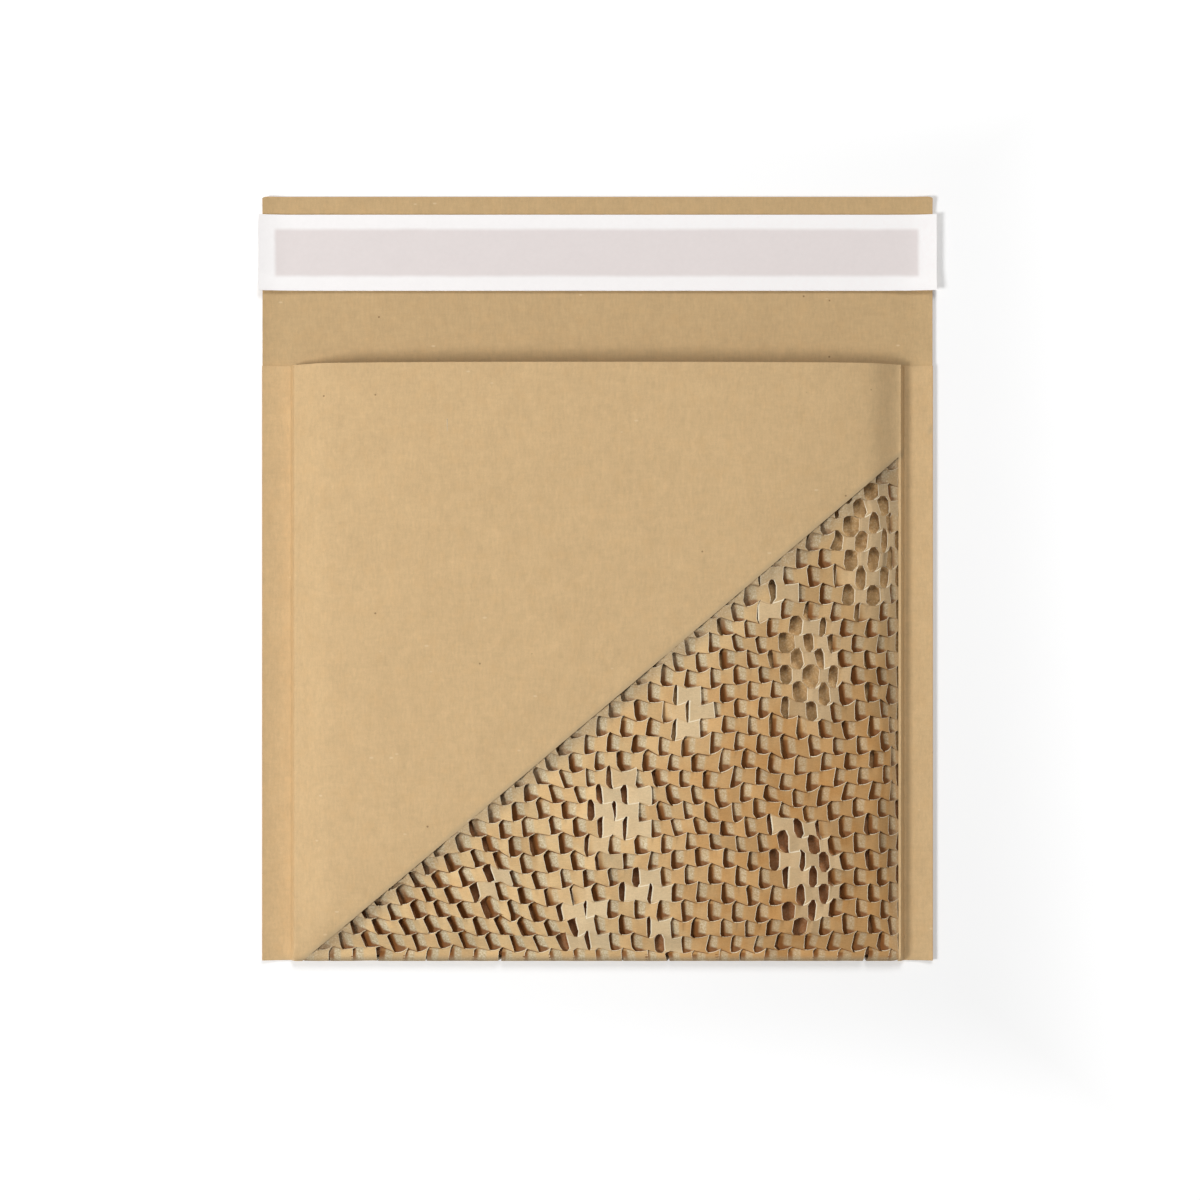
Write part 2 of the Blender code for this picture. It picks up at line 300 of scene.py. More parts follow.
def shaped_sheet(name: str, points: Array, above: float) -> Piece:
    """A grid shaped into an open paper sheet.

    Args:
        name: Name of the piece.
        points: Places of its corners, by row and column.
        above: The height above which its faces look up.
    Returns:
        The new object.
    """
    rows, columns = points.shape[:2]
    deselect()
    bpy.ops.mesh.primitive_grid_add(x_subdivisions=columns - 1, y_subdivisions=rows - 1, size=1)
    piece = bpy.context.object
    piece.name = name
    piece.data.name = name
    piece.data.vertices.foreach_set("co", points.reshape(-1).astype(np.float32))
    piece.data.update()
    face_up(piece, above)
    return piece


def edit_faces(piece: Piece, chosen: Callable[[Array], Array],
               operator: Callable[..., Any], **settings: Any) -> None:
    """Runs an edit-mode operator on some faces.

    Args:
        piece: The object.
        chosen: Takes the faces' middles and says which are taken.
        operator: The operator.
        settings: Its settings.
    """
    activate(piece)
    mesh = piece.data
    picked = np.asarray(chosen(face_vectors(piece, "center")), bool)
    if not picked.any():
        return
    for parts in (mesh.vertices, mesh.edges):
        parts.foreach_set("select", np.zeros(len(parts), bool))
    mesh.polygons.foreach_set("select", picked)
    bpy.ops.object.mode_set(mode="EDIT")
    bpy.ops.mesh.select_mode(type="FACE")
    operator(**settings)
    bpy.ops.object.mode_set(mode="OBJECT")


def thicken(piece: Piece, thickness: float, rim: int = 0, back: int = 0,
            even: bool = True) -> None:
    """Gives a sheet its thickness, against its normals.

    Args:
        piece: The sheet.
        thickness: How thick it becomes.
        rim, back: How many material slots on the rim's and the far face's material is.
        even: Whether the thickness is kept at sharp bends.
    """
    activate(piece)
    while len(piece.data.materials) <= max(rim, back):
        piece.data.materials.append(None)
    wall = piece.modifiers.new("thickness", "SOLIDIFY")
    wall.thickness = thickness
    wall.offset = -1
    wall.use_even_offset = even
    wall.material_offset = back
    wall.material_offset_rim = rim
    bpy.ops.object.modifier_apply(modifier=wall.name)


def smooth(piece: Piece, degrees: float) -> None:
    """Shades a piece smooth, apart from its sharp edges."""
    activate(piece)
    bpy.ops.object.shade_smooth_by_angle(angle=math.radians(degrees))


def dress(piece: Piece, materials: Iterable[Material]) -> None:
    """Gives a piece its materials, in the order of its slots."""
    slots = piece.data.materials
    for place, material in enumerate(materials):
        if place < len(slots):
            slots[place] = material
        else:
            slots.append(material)


Number = Union["Value", float]


class Value:
    """A number socket that takes part in Python expressions."""

    def __init__(self, sheet: "NodeSheet", socket: Socket) -> None:
        """Wraps an output socket of a material."""
        self.sheet = sheet
        self.socket = socket

    def math(self, operation: str, *others: Number) -> "Value":
        """The result of a Math node that starts with this value."""
        return self.sheet.math(operation, self, *others)

    def __add__(self, other: Number) -> "Value":
        """Sum."""
        return self.math("ADD", other)

    __radd__ = __add__

    def __sub__(self, other: Number) -> "Value":
        """Difference."""
        return self.math("SUBTRACT", other)

    def __rsub__(self, other: Number) -> "Value":
        """Difference, with the value on the right."""
        return self.sheet.math("SUBTRACT", other, self)

    def __mul__(self, other: Number) -> "Value":
        """Product."""
        return self.math("MULTIPLY", other)

    __rmul__ = __mul__

    def __truediv__(self, other: Number) -> "Value":
        """Quotient."""
        return self.math("DIVIDE", other)

    def __abs__(self) -> "Value":
        """Absolute value."""
        return self.math("ABSOLUTE")

    def most(self, other: Number) -> "Value":
        """The larger of two."""
        return self.math("MAXIMUM", other)

    def rise(self, start: float, end: float) -> "Value":
        """Smooth step from 0 at start to 1 at end, or falling where start is larger."""
        kind = {"interpolation_type": "SMOOTHSTEP", "clamp": True}
        low, high = min(start, end), max(start, end)
        stops = {"Value": self, "From Min": low, "From Max": high}
        step = Value(self.sheet, self.sheet.node("ShaderNodeMapRange", kind, stops).outputs[0])
        return step if start < end else 1 - step


class NodeSheet:
    """The nodes of one material or world."""

    def __init__(self, name: str, library: Any = None) -> None:
        """Starts without a node.

        Args:
            name: Name of the material or world.
            library: Where it is kept, the materials if not given.
        """
        library = bpy.data.materials if library is None else library
        self.owner = library.new(name)
        self.owner.use_nodes = True
        self.tree = self.owner.node_tree
        self.tree.nodes.clear()

    def node(self, kind: str, settings: dict[str, Any] | None = None,
             sockets: dict[str | int, Any] | None = None) -> bpy.types.Node:
        """Adds a node.

        Args:
            kind: The node's type.
            settings: Its own settings, set first.
            sockets: Values or links of its input sockets, by name or number.
        Returns:
            The node.
        """
        made = self.tree.nodes.new(kind)
        for name, value in (settings or {}).items():
            setattr(made, name, value)
        for name, value in (sockets or {}).items():
            self.wire(made.inputs[name], value)
        return made

    def wire(self, socket: Socket, value: Any) -> None:
        """Links a socket, or sets its own value."""
        if isinstance(value, Value):
            self.tree.links.new(value.socket, socket)
        elif isinstance(value, Socket):
            self.tree.links.new(value, socket)
        elif isinstance(value, tuple) and socket.type == "RGBA":
            socket.default_value = (*value, 1)
        else:
            socket.default_value = value

    def math(self, operation: str, *values: Number) -> Value:
        """The result of a Math node."""
        inputs = dict(enumerate(values))
        made = self.node("ShaderNodeMath", {"operation": operation}, inputs)
        return Value(self, made.outputs[0])

    @cached_property
    def place(self) -> Socket:
        """The place on the object, in metres."""
        return self.node("ShaderNodeTexCoord").outputs["Object"]

    def axes(self) -> tuple[Value, Value, Value]:
        """The place on the object as three values."""
        split = self.node("ShaderNodeSeparateXYZ", None, {0: self.place})
        return tuple(Value(self, out) for out in split.outputs)

    def attribute(self, name: str) -> Value:
        """A number kept on the mesh."""
        made = self.node("ShaderNodeAttribute", {"attribute_name": name})
        return Value(self, made.outputs["Fac"])

    def stretched(self, scale: Corner, turn: float = 0.0) -> Socket:
        """The place, scaled along each axis and turned about the upright one."""
        sockets = {"Vector": self.place, "Scale": scale, "Rotation": (0, 0, turn)}
        return self.node("ShaderNodeMapping", None, sockets).outputs[0]

    def noise(self, scale: float, detail: float = 2.0, rough: float = 0.5,
              place: Socket | None = None) -> Value:
        """Soft noise from 0 to 1.

        Args:
            scale: Features per metre.
            detail: Number of finer layers.
            rough: How strong they are.
            place: Where it is read, the place on the object if not given.
        Returns:
            The noise.
        """
        sockets = {"Vector": place or self.place, "Scale": scale, "Detail": detail,
                   "Roughness": rough}
        return Value(self, self.node("ShaderNodeTexNoise", None, sockets).outputs["Fac"])

    def specks(self, scale: float, radius: float, share: float,
               place: Socket | None = None) -> Value:
        """Small round marks in a share of the cells of a jittered lattice.

        Args:
            scale: Cells per metre.
            radius: Radius of a mark, in cells.
            share: Share of the cells that have one.
            place: Where they are read.
        Returns:
            1 on a mark and 0 elsewhere.
        """
        sockets = {"Vector": place or self.place, "Scale": scale}
        cells = self.node("ShaderNodeTexVoronoi", {"voronoi_dimensions": "3D"}, sockets)
        reach = Value(self, cells.outputs["Distance"])
        split = self.node("ShaderNodeSeparateColor", None, {0: cells.outputs["Color"]})
        draw = Value(self, split.outputs[0])
        return reach.rise(radius, radius * 0.5) * draw.math("LESS_THAN", share)

    def blend(self, factor: Number, first: Any, second: Any) -> Socket:
        """Mixes two colours. The factor is the share of the second one."""
        settings = {"data_type": "RGBA", "blend_type": "MIX", "clamp_factor": True}
        return self.node("ShaderNodeMix", settings, {0: factor, 6: first, 7: second}).outputs[2]

    @staticmethod
    def uneven(*noises: tuple[Value, float], middle: float = 1.0) -> Value:
        """A value that varies about a middle.

        Args:
            noises: Noises from 0 to 1, each with its contrast.
            middle: The value where all noises are 0.5.
        Returns:
            The value.
        """
        total = middle
        for noise, contrast in noises:
            total = total + (noise - 0.5) * contrast
        return total

    def shade(self, colour: Any, amount: Value) -> Socket:
        """A colour made lighter or darker. An amount of 1 leaves it as it is."""
        grey = self.node("ShaderNodeCombineXYZ", None, {0: amount, 1: amount, 2: amount})
        sockets = {0: colour, 1: grey.outputs[0]}
        return self.node("ShaderNodeVectorMath", {"operation": "MULTIPLY"}, sockets).outputs[0]

    def bump(self, height: Value, depth: float, strength: float) -> Socket:
        """A normal from a height, where a height of 1 stands for the depth, in metres."""
        sockets = {"Strength": strength, "Distance": depth, "Height": height}
        return self.node("ShaderNodeBump", None, sockets).outputs[0]

    def finish(self, sockets: dict[str, Any]) -> Material:
        """Ends the material with its surface, made with these values or links."""
        surface = self.node("ShaderNodeBsdfPrincipled", None, sockets)
        self.node("ShaderNodeOutputMaterial", None, {"Surface": surface.outputs[0]})
        return self.owner


class Side(Enum):
    """The two faces of the kraft sheet, and its cut."""

    OUTSIDE = "outside"
    INSIDE = "inside"
    CUT = "cut"


@dataclass(frozen=True)
class KraftFinish:
    """Brown kraft paper: soft fibre clouds, faint streaks, a few specks, redder cut edges, a
    painted grey shade along the window's cut, and painted light on the side ridge and groove.
    """

    walls: Walls
    side: Side
    outside: Colour = ink(210, 178, 132)
    inside: Colour = ink(200, 169, 124)
    # The cut rim is a little lighter than the faces: partly the paper's own cut colour, partly
    # painted light on its shaded face.
    cut: Colour = ink(214, 184, 136)
    edge: Colour = ink(205, 160, 104)
    blush: Colour = ink(214, 172, 118)
    dark_speck: Colour = ink(120, 88, 52)
    light_fleck: Colour = ink(232, 208, 168)
    painted_cut_shade: Colour = ink(188, 164, 126)
    edge_width: float = 0.00035
    band_width: float = 0.0017
    ridge: float = 0.0906
    ridge_light: float = 0.08
    ridge_width: tuple[float, float] = (0.0016, 0.0003)
    groove_light: float = 0.15
    groove_width: tuple[float, float] = (0.0020, 0.0010)
    groove_below_mouth: tuple[float, float] = (0.020, 0.034)

    def make(self) -> Material:
        """Builds the material."""
        sheet = NodeSheet(f"kraft_{self.side.value}")
        base = {Side.OUTSIDE: self.outside, Side.INSIDE: self.inside, Side.CUT: self.cut}
        x, y, z = sheet.axes()
        clouds = sheet.noise(90, 3, 0.55)
        fibres = sheet.noise(1, 3, 0.6, sheet.stretched((1500, 420, 900), 0.12))
        cross = sheet.noise(1, 2, 0.5, sheet.stretched((300, 1100, 900), -0.05))
        grain = sheet.noise(3200, 2, 0.6)
        threads = sheet.noise(1, 3, 0.6, sheet.stretched((420, 150, 300), 0.2))
        mottle = sheet.noise(330, 3, 0.6)
        tone = sheet.uneven((clouds, 0.12), (fibres, 0.24), (cross, 0.12), (grain, 0.20),
                            (threads, 0.13), (mottle, 0.13))
        colour = sheet.shade(base[self.side], tone)
        warm = sheet.noise(240, 2, 0.5).rise(0.45, 0.75)
        colour = sheet.blend(warm * 0.16, colour, self.blush)
        colour = sheet.blend(sheet.specks(260, 0.10, 0.035) * 0.7, colour, self.dark_speck)
        flecks = sheet.specks(1, 0.17, 0.05, sheet.stretched((210, 420, 300), 0.6))
        colour = sheet.blend(flecks * 0.45, colour, self.light_fleck)
        # Painted light on the side ridge and groove.
        colour = sheet.shade(colour, self.side_light(x, y))
        # Painted shade: a soft grey-tan band on the top face along the window's slanting cut.
        band = abs(self.walls.from_slant(x, y)).rise(self.band_width, 0.0002)
        colour = sheet.blend(band * z.rise(0.0012, 0.0016) * 0.7, colour, self.painted_cut_shade)
        colour = sheet.blend(self.free_edges(x, y) * 0.65, colour, self.edge)
        height = fibres * 0.5 + cross * 0.2 + grain * 0.3
        return sheet.finish({
            "Base Color": colour,
            "Roughness": sheet.uneven((fibres, 0.2), middle=0.72),
            "Specular IOR Level": 0.25,
            "Normal": sheet.bump(height, 0.00006, 0.6),
        })

    def side_light(self, x: Value, y: Value) -> Value:
        """Painted light: extra brightness on the rounded ridge on the left and in the groove on the
        right.
        """
        mouth = self.walls.y_mouth
        ridge = abs(x + self.ridge).rise(*self.ridge_width)
        ridge = ridge * y.rise(mouth + 0.0005, mouth - 0.001)
        groove = abs(x - self.ridge).rise(*self.groove_width)
        groove = groove * y.rise(*(mouth - below for below in self.groove_below_mouth))
        return 1 + ridge * self.ridge_light + groove * self.groove_light

    def free_edges(self, x: Value, y: Value) -> Value:
        """A narrow band along the sheet's free edges."""
        inset, width, end = 0.00005, self.walls.half_width, self.walls.y_top
        side = abs(x).rise(width - self.edge_width, width - inset)
        return side.most(y.rise(end - self.edge_width, end - inset))


@dataclass(frozen=True)
class CombFinish:
    """Slit honeycomb paper: pale crests, low parts painted darker as shade, slopes painted pale as
    lit, cream cut edges and crests that are partly painted highlight, and a painted grey shade
    along the window's rim.
    """

    walls: Walls
    crest: Colour = ink(220, 187, 137)
    low: Colour = ink(150, 102, 52)
    pale: Colour = ink(204, 190, 156)
    fleck: Colour = ink(236, 226, 200)
    painted_shade: Colour = ink(126, 76, 34)
    open_crest: Colour = ink(226, 202, 162)
    # Cream paint on cut edges and step crests: partly the paler cut paper, partly painted
    # highlight.
    cut: Colour = ink(250, 236, 206)
    painted_rim_shade: Colour = ink(174, 154, 122)
    warm: Colour = ink(192, 141, 82)
    umber: Colour = ink(140, 96, 44)
    slant_shade: tuple[float, float] = (-0.0066, -0.0010)
    right_shade: float = 0.004
    foot_shade: tuple[float, float] = (0.0024, 0.0003)

    def make(self) -> Material:
        """Builds the material."""
        sheet = NodeSheet("honeycomb_paper")
        x, y, _ = sheet.axes()
        names = ("lift", "tone", "standing", "slope", "painted_shade", "edge")
        lift, tone, standing, slope, painted_shade, edge = map(sheet.attribute, names)
        grain = sheet.noise(2600, 3, 0.65)
        clouds = sheet.noise(420, 3, 0.6)
        speckle = sheet.noise(1900, 3, 0.75)
        fibres = sheet.noise(1, 3, 0.6, sheet.stretched((700, 2400, 900), 0.05))
        # Painted shade: the low parts of the paper are darker and more saturated.
        colour = sheet.blend(lift.rise(0.30, 0.72), self.low, self.crest)
        colour = sheet.blend(standing * 0.8 * lift.rise(0.5, 0.9), colour, self.open_crest)
        # Pale mottling on raised parts, and a painted highlight on the slopes that face the light,
        # with light and dark specks in it.
        fuzz = clouds.rise(0.52, 0.72) * grain.rise(0.35, 0.65) * lift.rise(0.3, 0.7)
        slope = slope.rise(0.3, 0.9)
        colour = sheet.blend((fuzz * 0.4).most(slope * 0.85), colour, self.pale)
        colour = sheet.blend(slope * speckle.rise(0.50, 0.68) * 0.8, colour, self.fleck)
        colour = sheet.blend(slope * speckle.rise(0.48, 0.34) * 0.5, colour, self.low)
        blush = sheet.noise(130, 2, 0.5).rise(0.40, 0.66)
        warm = x.rise(-0.01, 0.05) * y.rise(0.0, -0.06) * 0.65 + blush * 0.25
        colour = sheet.blend(warm * (1 - standing * 0.8) * (1 - slope * 0.6), colour, self.warm)
        right = x.rise(0.030, 0.065) * (0.25 + y.rise(-0.06, 0.0) * 0.10)
        colour = sheet.blend(right, colour, self.umber)
        shade = sheet.uneven((tone, 0.28), (grain, 0.34), (fibres, 0.26), middle=1.01)
        colour = sheet.shade(colour, shade)
        # Painted grey shade along the window's edges, with a few light and dark specks.
        rim = self.rim(x, y)
        # Painted shade at the feet and flanks of openings, and cream edge paint that is partly
        # painted highlight.
        for share, paint in (
            (painted_shade.rise(0.25, 0.8) * 0.9, self.painted_shade),
            (edge.rise(0.25, 0.8) * 0.95, self.cut),
            (rim * 0.65, self.painted_rim_shade),
            (rim * speckle.rise(0.52, 0.66) * 0.30, self.fleck),
            (rim * speckle.rise(0.46, 0.34) * 0.30, self.low),
        ):
            colour = sheet.blend(share, colour, paint)
        return sheet.finish({
            "Base Color": colour,
            "Roughness": 0.82,
            "Specular IOR Level": 0.2,
            "Normal": sheet.bump(grain * 0.6 + fibres * 0.4, 0.0001, 0.7),
        })

    def rim(self, x: Value, y: Value) -> Value:
        """Where a grey shade is painted along the window's edges."""
        walls = self.walls
        along = walls.from_slant(x, y).rise(*self.slant_shade)
        right = x.rise(walls.window_right - self.right_shade, walls.window_right)
        foot = y.rise(*(walls.y_bottom + height for height in self.foot_shade))
        return along.most(right * 0.7).most(foot)


@dataclass(frozen=True)
class LinerFinish:
    """The inner liner: speckled brown paper, deeper brown towards the bottom fold."""

    base: Colour = ink(192, 154, 104)
    pale: Colour = ink(214, 182, 136)
    dark: Colour = ink(150, 108, 62)
    deep: Colour = ink(134, 58, 18)
    deep_start: float = -0.040
    deep_end: float = -0.066

    def make(self) -> Material:
        """Builds the material."""
        sheet = NodeSheet("liner_paper")
        fine = sheet.noise(1500, 3, 0.7)
        clumps = sheet.noise(520, 2, 0.6)
        _, y, _ = sheet.axes()
        colour = sheet.blend(fine.rise(0.42, 0.66), self.base, self.pale)
        colour = sheet.blend(clumps.rise(0.45, 0.25) * 0.6, colour, self.dark)
        colour = sheet.blend(y.rise(self.deep_start, self.deep_end) * 0.6, colour, self.deep)
        return sheet.finish({
            "Base Color": colour,
            "Roughness": 0.85,
            "Specular IOR Level": 0.2,
            "Normal": sheet.bump(fine * 0.6 + clumps * 0.4, 0.0002, 0.8),
        })


@dataclass(frozen=True)
class ReleaseFinish:
    """White coated release paper, through which the adhesive shows as a soft warm-grey band."""

    middle_y: float
    half_band: float = 0.0070
    band_left: float = -0.0962
    band_right: float = 0.0958
    blur: float = 0.0008
    wander: float = 0.0006
    right_light: float = 0.03
    white: Colour = ink(252, 249, 248)
    band: Colour = ink(230, 221, 219)

    def make(self) -> Material:
        """Builds the material."""
        sheet = NodeSheet("release_paper")
        x, y, _ = sheet.axes()
        wander = (sheet.noise(110, 2, 0.5) - 0.5) * self.wander
        off = abs(y - self.middle_y) + wander
        up = off.rise(self.half_band + self.blur, self.half_band - self.blur)
        left = (x + wander).rise(self.band_left - self.blur, self.band_left + self.blur)
        right = (x + wander).rise(self.band_right + self.blur, self.band_right - self.blur)
        clouds = sheet.noise(160, 3, 0.5)
        grain = sheet.noise(700, 3, 0.6)
        colour = sheet.blend(up * left * right, self.white, self.band)
        shade = sheet.uneven((clouds, 0.03), (grain, 0.06), middle=1.01)
        # Painted light: the paper is made brighter towards the right, against the lamps' falloff.
        colour = sheet.shade(colour, shade + x.rise(-0.06, 0.1) * self.right_light)
        return sheet.finish({
            "Base Color": colour,
            "Roughness": sheet.uneven((clouds, 0.15), middle=0.42),
            "Specular IOR Level": 0.4,
            "Normal": sheet.bump(sheet.noise(900, 2, 0.5), 0.00003, 0.5),
        })


@dataclass(frozen=True)
class AdhesiveFinish:
    """Clear pressure-sensitive adhesive with a faint orange-peel surface."""

    tint: Colour = ink(222, 210, 200)

    def make(self) -> Material:
        """Builds the material."""
        sheet = NodeSheet("adhesive")
        peel = sheet.noise(700, 2, 0.5)
        return sheet.finish({
            "Base Color": sheet.shade(self.tint, sheet.uneven((peel, 0.08))),
            "Roughness": 0.22 + peel * 0.12,
            "Normal": sheet.bump(peel, 0.00008, 0.7),
        })


@dataclass(frozen=True)
class FloorFinish:
    """The pale table, which shows white to the camera and keeps the object's shadow."""

    paint: Colour = (0.99, 0.99, 0.99)
    light: Colour = (1.0, 1.0, 1.0)
    glow: float = 0.09
    far_glow: float = 0.18
    far_from: tuple[float, float] = (0.106, 0.120)
    far_to: float = 0.18
    horizon_glow: float = 0.75
    horizon_from: float = 0.16
    horizon_to: float = 1.3

    def make(self) -> Material:
        """Builds the material."""
        sheet = NodeSheet("pale_table")
        colour = sheet.shade(self.paint, sheet.uneven((sheet.noise(60, 2, 0.5), 0.01)))
        diffuse = sheet.node("ShaderNodeBsdfPrincipled", None, {
            "Base Color": colour, "Roughness": 0.9, "Specular IOR Level": 0.0,
        })
        ray = sheet.node("ShaderNodeLightPath")
        seen = Value(sheet, ray.outputs["Is Camera Ray"])
        for kind in ("Is Glossy Ray", "Is Transmission Ray"):
            seen = seen.most(Value(sheet, ray.outputs[kind]))
        x, y, _ = sheet.axes()
        x, y = abs(x), abs(y)
        far = x.rise(self.far_from[0], self.far_to).most(y.rise(self.far_from[1], self.far_to))
        horizon = x.most(y).rise(self.horizon_from, self.horizon_to)
        glow = far * self.far_glow + horizon * self.horizon_glow + self.glow
        light = sheet.node("ShaderNodeEmission", None, {
            "Color": sheet.shade(self.light, glow), "Strength": seen,
        })
        both = sheet.node("ShaderNodeAddShader", None, {0: diffuse.outputs[0], 1: light.outputs[0]})
        sheet.node("ShaderNodeOutputMaterial", None, {"Surface": both.outputs[0]})
        return sheet.owner


@dataclass
class OuterSheet:
    """The one kraft sheet: flap, back, bottom fold, windowed front wall and the two side seams."""

    walls: Walls
    thickness: float = 0.00028
    step_across: float = 0.0026
    step_along: float = 0.0028
    bend_steps: int = 12
    corner_length: float = 0.0016
    corner_drop: float = 0.0005
    edge_ring: float = 0.00035
    wave_height: float = 0.00016
    cut_lift: float = -0.00014
    cut_reach: float = 0.0045
    cut_calm: float = 0.012
    window_floor: float = 0.00045
    piece: Piece | None = field(default=None, init=False)

    def columns(self) -> Array:
        """Where the sheet is divided across, closer together at the seams and shoulders."""
        walls = self.walls
        half = [0.0]
        while half[-1] < walls.pad_x - 1.5 * self.step_across:
            half.append(half[-1] + self.step_across)
        half += [walls.pad_x - 0.0008, walls.pad_x, walls.wall_x]
        half += [walls.wall_x + walls.shoulder * share for share in (0.2, 0.45, 0.7, 0.9, 1.0)]
        half += [walls.seam_x + walls.seam_width * share for share in (0.05, 0.1, 0.3, 0.5, 0.7)]
        edge = walls.half_width
        half += [edge - self.corner_length, edge - 0.5 * self.corner_length]
        half += [edge - self.edge_ring, edge]
        half = np.array(sorted(half))
        return np.concatenate([-half[:0:-1], half])

    def flap_end(self, x: Array) -> Array:
        """The flap's free edge, with its slightly rounded corners."""
        into = np.clip((np.abs(x) - self.walls.half_width) / self.corner_length + 1, 0, 1)
        return self.walls.y_top - self.corner_drop * into**2.2

    def build(self) -> None:
        """Models the sheet and cuts its window."""
        walls = self.walls
        x = self.columns()
        top = self.flap_end(x)
        start = walls.bend_y(x)
        length = walls.y_top - walls.y_bottom
        count = round(length / self.step_along)
        shares = np.linspace(1, 0, count + 1)
        shares = np.insert(shares, 1, 1 - self.edge_ring / length)
        rows = [walls.back(x, start + (top - start) * share, 0.0) for share in shares]
        turns = np.linspace(1, 0, self.bend_steps + 1)[1:-1]
        rows += [walls.bend(x, turn + 0 * x, 0.0) for turn in turns]
        count = round((walls.y_mouth - walls.y_bottom) / self.step_along)
        for share in np.linspace(0, 1, count + 1):
            rows.append(walls.front(x, start + (walls.y_mouth - start) * share, 0.0))
        points = np.array(rows)
        self.soften(points, len(shares))
        self.piece = shaped_sheet("kraft_sheet", points, walls.front_level)
        self.cut_window()
        thicken(self.piece, self.thickness, rim=2, back=1)
        smooth(self.piece, 50)

    def soften(self, points: Array, back_rows: int) -> None:
        """Adds the unevenness of real paper.

        Args:
            points: The sheet's places by row and column, changed in place.
            back_rows: How many rows belong to the back and flap.
        """
        walls = self.walls
        x, y = points[..., 0], points[..., 1]
        points[..., 2] += walls.curl(x, y)
        front = points[back_rows + self.bend_steps - 1:]
        x, y = front[..., 0], front[..., 1]
        inner, up = walls.wall_x - np.abs(x), y - walls.y_bottom
        wave = Ripple(11, 0.03, 0.09)(x, y) * ramp(inner / 0.02) * ramp(up / 0.03)
        front[..., 2] += self.wave_height * wave
        bumps = 1 + 0.5 * Ripple(12, 0.009, 0.02)(x, y)
        fade = np.exp(-np.abs(walls.from_slant(x, y)) / self.cut_reach)
        calm = ramp(inner / self.cut_calm) * ramp(up / self.cut_calm)
        front[..., 2] += self.cut_lift * bumps * fade * calm

    def cut_window(self) -> None:
        """Cuts the slanting window out of the front wall and the bottom fold."""
        walls, floor = self.walls, self.window_floor

        def bend(c: Array) -> Array:
            """Faces of the bottom fold."""
            return c[:, 1] < walls.bend_y(c[:, 0])

        def upper(c: Array) -> Array:
            """Faces of the front wall and of the fold's upper part."""
            return (bend(c) & (c[:, 2] > 0.3 * floor)) | (c[:, 2] > 2 * walls.paper)

        def window(c: Array) -> Array:
            """Faces inside the window."""
            inside = (walls.from_slant(c[:, 0], c[:, 1]) < 0) & (c[:, 0] < walls.window_right)
            return upper(c) & inside & (c[:, 2] > floor) & (c[:, 0] > -walls.wall_x)

        slant = (-walls.window_slope, 1.0, 0.0)
        corner = np.array((walls.window_left, walls.y_bottom, 0.0))
        ring = corner + self.edge_ring * np.array(slant) / np.linalg.norm(slant)
        for chosen, place, normal in (
            (upper, corner, slant),
            (upper, ring, slant),
            (upper, (walls.window_right, 0, 0), (1, 0, 0)),
            (bend, (0, 0, floor), (0, 0, 1)),
        ):
            edit_faces(self.piece, chosen, bpy.ops.mesh.bisect, plane_co=tuple(place),
                       plane_no=normal, threshold=0.00001)
        edit_faces(self.piece, window, bpy.ops.mesh.delete, type="FACE")

    def dress(self) -> None:
        """Gives the sheet its materials and its place in the frame."""
        sides = (Side.OUTSIDE, Side.INSIDE, Side.CUT)
        dress(self.piece, [KraftFinish(self.walls, side).make() for side in sides])
        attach(self.piece, BODY)
        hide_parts("outer_sheet")


class Detail(Enum):
    """How finely a tab of the honeycomb is divided."""

    FINE = "fine"
    PLAIN = "plain"


# Across a tab, from its left edge at 0 to its joint at 1: where a strip is divided, how dark the
# painted shade is at the foot and up the flank of an opening, and how much a place slopes to the
# light, which the finish paints pale as lit.
STATIONS = {Detail.FINE: (0.0, 0.22, 0.40, 0.62, 0.90, 1.0), Detail.PLAIN: (0.0, 0.5, 1.0)}
FOOT = {0.0: 1.0, 0.22: 1.0, 0.40: 0.92, 0.62: 0.72, 0.90: 0.2}
FLANK = {0.0: 0.75, 0.22: 0.65, 0.40: 0.25}
SLOPE = {0.0: 0.1, 0.22: 0.4, 0.40: 0.95, 0.62: 0.95}


@dataclass(frozen=True)
class TabForm:
    """How a tab of the honeycomb stands. Widths are in metres, heights in shares of the pad."""

    left_width: float
    right_width: float
    low: float
    middle: float
    high: float

    def mixed(self, other: "TabForm", share: float) -> "TabForm":
        """A form between this one and another."""
        return TabForm(*(a + (b - a) * share for a, b in zip(astuple(self), astuple(other))))


LEANING = TabForm(0.00520, 0.00226, 0.30, 0.86, 0.98)
STANDING = TabForm(0.00178, 0.00186, 0.80, 0.93, 1.00)
CLOSED = TabForm(0.00350, 0.00355, 0.84, 0.90, 0.92)
SLOTTED = TabForm(0.00305, 0.00290, 0.86, 0.92, 0.98)


@dataclass(frozen=True)
class Spread:
    """How much the tabs differ from one another, as standard deviations in the units of Tab."""

    left_width: float = 0.00022
    left_standing: float = 0.00018
    right_width: float = 0.00028
    right_standing: float = 0.00012
    low: float = 0.06
    middle: float = 0.06
    high: float = 0.04
    tone: float = 0.22
    across: float = 0.00024
    along: float = 0.00026
    lean: float = 0.07
    flare: float = 0.09
    tilt: float = 0.09


class Patch(NamedTuple):
    """An oval part of the window, measured from its right edge and from the bottom fold."""

    across: float
    up: float
    half_across: float
    half_up: float

    def holds(self, across: float, up: float) -> float:
        """How far a place lies inside, from 0 to 1 over a soft border."""
        reach = math.hypot((across - self.across) / self.half_across, (up - self.up) / self.half_up)
        return float(ramp((1.15 - reach) / 0.35))


